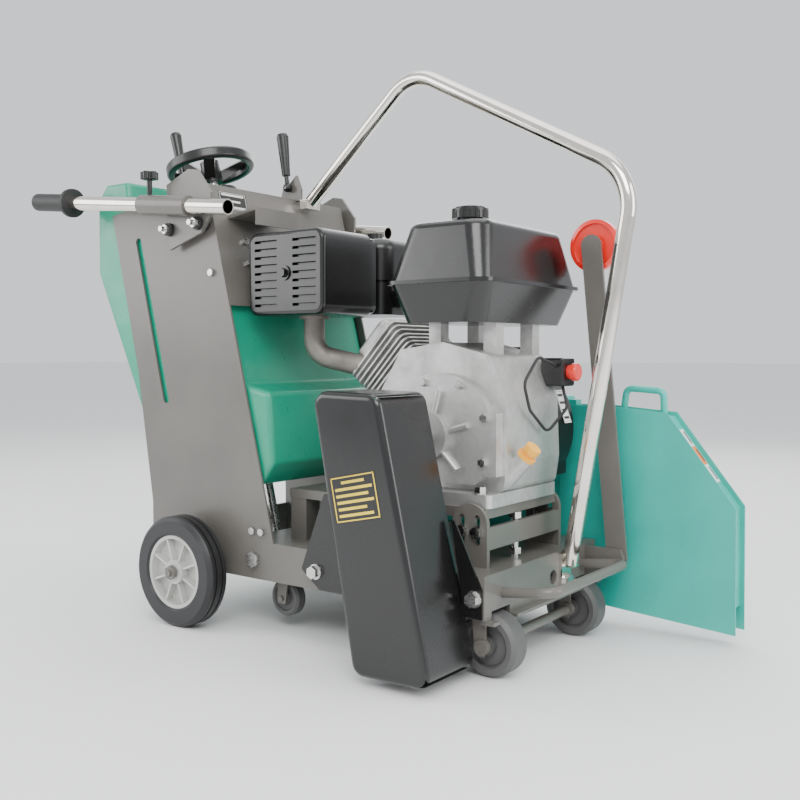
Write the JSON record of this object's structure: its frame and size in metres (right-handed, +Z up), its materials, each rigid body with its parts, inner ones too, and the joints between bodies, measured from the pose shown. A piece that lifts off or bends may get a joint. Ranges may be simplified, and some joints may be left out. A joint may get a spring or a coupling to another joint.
{
  "type": "walk-behind concrete saw",
  "caption": "Walk-behind petrol concrete saw with water tank column, sliding handlebars, belt cover, hinged blade guard, lifting hoop and screw-lifted rear axle.",
  "frame": {"origin": "middle of the object's bounding box, on the floor", "axes": "+X forward (cutting direction), +Y to the operator's left (blade side), +Z up"},
  "size_m": [1.2976, 0.576, 1.011],
  "materials": {
    "frame_paint": "satin grey paint",
    "tank_green": "satin green polyethylene",
    "guard_paint": "gloss teal paint",
    "black_paint": "gloss black paint",
    "chrome": "polished chrome plating",
    "zinc": "zinc plated steel",
    "steel": "bare steel",
    "cast_alloy": "cast aluminium",
    "elbow_iron": "cast iron",
    "rubber": "black rubber",
    "tyre": "moulded black rubber",
    "hub_plastic": "grey moulded plastic",
    "small_wheel": "grey rubber",
    "black_plastic": "black moulded plastic",
    "red_plastic": "red moulded plastic",
    "yellow_plastic": "yellow moulded plastic",
    "brass": "brass"
  },
  "bodies": {
    "chassis": {"chassis_frame": "frame_paint", "side_plate_right": "frame_paint", "side_plate_left": "frame_paint", "column_panel": "frame_paint", "water_tank": "tank_green", "tank_outlet": "brass", "pivot_shaft": "zinc", "wheel_brackets": "frame_paint", "handle_bracket_right": "frame_paint", "handle_bracket_left": "frame_paint", "handle_isolators": "rubber", "lifting_hoop": "chrome", "engine_base": "frame_paint", "crankcase": "cast_alloy", "crankcase_cover": "cast_alloy", "cylinder": "cast_alloy", "cylinder_head": "cast_alloy", "muffler": "black_paint", "exhaust_elbow": "elbow_iron", "air_cleaner": "black_plastic", "fuel_tank": "black_paint", "fan_shroud": "black_plastic", "recoil_starter": "black_plastic", "switch_box": "black_plastic", "engine_wires": "rubber", "shaft_bearings": "elbow_iron", "v_belts": "rubber", "belt_cover": "black_paint", "hex_bolts": "zinc", "guard_rear": "guard_paint"},
    "swing": {"swing_frame": "frame_paint"},
    "rear_wheel_right": {"rear_hub_right": "hub_plastic", "rear_tyre_right": "tyre"},
    "rear_wheel_left": {"rear_hub_left": "hub_plastic", "rear_tyre_left": "tyre"},
    "lift_screw": {"lead_screw": "zinc", "handwheel": "black_plastic"},
    "wheel_grip": {"handwheel_grip": "black_plastic"},
    "lift_nut": {"lift_nut": "steel"},
    "front_wheel_right": {"front_wheel_right": "small_wheel"},
    "front_wheel_left": {"front_wheel_left": "small_wheel"},
    "castor_right": {"castor_wheel_right": "small_wheel"},
    "castor_left": {"castor_wheel_left": "small_wheel"},
    "handle_right": {"handlebar_right": "chrome", "handle_grip_right": "rubber"},
    "handle_left": {"handlebar_left": "chrome", "handle_grip_left": "rubber"},
    "clamp_right": {"clamp_knob_right": "black_plastic"},
    "clamp_left": {"clamp_knob_left": "black_plastic"},
    "fuel_cap": {"fuel_cap": "black_plastic"},
    "dipstick": {"dipstick": "yellow_plastic"},
    "recoil_handle": {"recoil_handle": "black_plastic"},
    "switch_knob": {"switch_knob": "red_plastic"},
    "crank": {"drive_pulley": "steel"},
    "blade_spindle": {"blade_shaft": "steel"},
    "guard_front": {"guard_front": "guard_paint"},
    "pointer": {"pointer_arm": "frame_paint"},
    "guide_wheel": {"guide_wheel": "red_plastic"},
    "throttle": {"throttle_lever": "black_plastic"},
    "lock_knob": {"lock_knob": "black_plastic"}
  },
  "joints": [
    {"name": "rear_axle_swing", "type": "hinge", "parent": "chassis", "child": "swing", "pos_m": [-0.07367, 0.02, 0.13], "axis": [0, 1, 0], "range_deg": [-6, 14]},
    {"name": "rear_wheel_right_spin", "type": "hinge", "parent": "swing", "child": "rear_wheel_right", "pos_m": [-0.21317, -0.215, 0.1], "axis": [0, 1, 0], "continuous": true},
    {"name": "rear_wheel_left_spin", "type": "hinge", "parent": "swing", "child": "rear_wheel_left", "pos_m": [-0.21317, 0.255, 0.1], "axis": [0, 1, 0], "continuous": true},
    {"name": "handwheel_turn", "type": "hinge", "parent": "chassis", "child": "lift_screw", "pos_m": [-0.38317, 0.02, 0.88], "axis": [-0.2419, 0, 0.9703], "range_deg": [-451, 1050]},
    {"name": "handwheel_grip_spin", "type": "hinge", "parent": "lift_screw", "child": "wheel_grip", "pos_m": [-0.44992, 0.0024, 0.87624], "axis": [-0.2419, 0, 0.9703], "continuous": true},
    {"name": "lift_nut_travel", "type": "slide", "parent": "chassis", "child": "lift_nut", "axis": [-0.2419, 0, 0.9703], "range_m": [-0.0126, 0.0292]},
    {"name": "front_wheel_right_spin", "type": "hinge", "parent": "chassis", "child": "front_wheel_right", "pos_m": [0.38883, -0.12, 0.05], "axis": [0, 1, 0], "continuous": true},
    {"name": "front_wheel_left_spin", "type": "hinge", "parent": "chassis", "child": "front_wheel_left", "pos_m": [0.38883, 0.16, 0.05], "axis": [0, 1, 0], "continuous": true},
    {"name": "castor_right_spin", "type": "hinge", "parent": "chassis", "child": "castor_right", "pos_m": [-0.03917, -0.118, 0.058], "axis": [0, 1, 0], "continuous": true},
    {"name": "castor_left_spin", "type": "hinge", "parent": "chassis", "child": "castor_left", "pos_m": [-0.03917, 0.158, 0.058], "axis": [0, 1, 0], "continuous": true},
    {"name": "handlebar_right_slide", "type": "slide", "parent": "chassis", "child": "handle_right", "axis": [-0.9945, 0, 0.105], "range_m": [-0.06, 0.09]},
    {"name": "handlebar_left_slide", "type": "slide", "parent": "chassis", "child": "handle_left", "axis": [-0.9945, 0, 0.105], "range_m": [-0.06, 0.09]},
    {"name": "clamp_knob_right_turn", "type": "hinge", "parent": "chassis", "child": "clamp_right", "pos_m": [-0.29893, -0.208, 0.76752], "axis": [0, 0, 1], "range_deg": [-180, 180]},
    {"name": "clamp_knob_left_turn", "type": "hinge", "parent": "chassis", "child": "clamp_left", "pos_m": [-0.29893, 0.248, 0.76752], "axis": [0, 0, 1], "range_deg": [-180, 180]},
    {"name": "fuel_cap_turn", "type": "hinge", "parent": "chassis", "child": "fuel_cap", "pos_m": [0.29483, -0.042, 0.715], "axis": [0, 0, 1], "range_deg": [0, 90]},
    {"name": "dipstick_turn", "type": "hinge", "parent": "chassis", "child": "dipstick", "pos_m": [0.37983, -0.04, 0.3087], "axis": [0.6728, 0, 0.7398], "range_deg": [0, 360]},
    {"name": "recoil_pull", "type": "slide", "parent": "chassis", "child": "recoil_handle", "axis": [0, 1, 0], "range_m": [0, 0.45], "stiffness_N_per_m": 30},
    {"name": "switch_turn", "type": "hinge", "parent": "chassis", "child": "switch_knob", "pos_m": [0.40683, 0.108, 0.462], "axis": [1, 0, 0], "range_deg": [0, 60]},
    {"name": "crank_spin", "type": "hinge", "parent": "chassis", "child": "crank", "pos_m": [0.24683, 0.02, 0.36], "axis": [0, 1, 0], "continuous": true},
    {"name": "blade_shaft_spin", "type": "hinge", "parent": "chassis", "child": "blade_spindle", "pos_m": [0.31483, 0.02, 0.092], "axis": [0, 1, 0], "continuous": true},
    {"name": "guard_front_lift", "type": "hinge", "parent": "chassis", "child": "guard_front", "pos_m": [0.32283, 0.245, 0.409], "axis": [0, -1, 0], "range_deg": [0, 100]},
    {"name": "pointer_fold", "type": "hinge", "parent": "chassis", "child": "pointer", "pos_m": [0.45683, 0.181, 0.14], "axis": [0, 1, 0], "range_deg": [0, 104]},
    {"name": "guide_wheel_spin", "type": "hinge", "parent": "pointer", "child": "guide_wheel", "pos_m": [0.40283, 0.197, 0.682], "axis": [0, 1, 0], "continuous": true},
    {"name": "throttle_tilt", "type": "hinge", "parent": "chassis", "child": "throttle", "pos_m": [-0.20317, 0.06, 0.826], "axis": [0, 1, 0], "range_deg": [-30, 30]},
    {"name": "lock_knob_turn", "type": "hinge", "parent": "chassis", "child": "lock_knob", "pos_m": [-0.26917, -0.044, 0.8], "axis": [0, 0, 1], "range_deg": [-180, 180]}
  ],
  "couplings": [
    {"joint": "handwheel_turn", "follows": "rear_axle_swing", "ratio": 74.896},
    {"joint": "lift_nut_travel", "follows": "rear_axle_swing", "m_per_rad": 0.1189},
    {"joint": "blade_shaft_spin", "follows": "crank_spin", "ratio": 1.087}
  ]
}
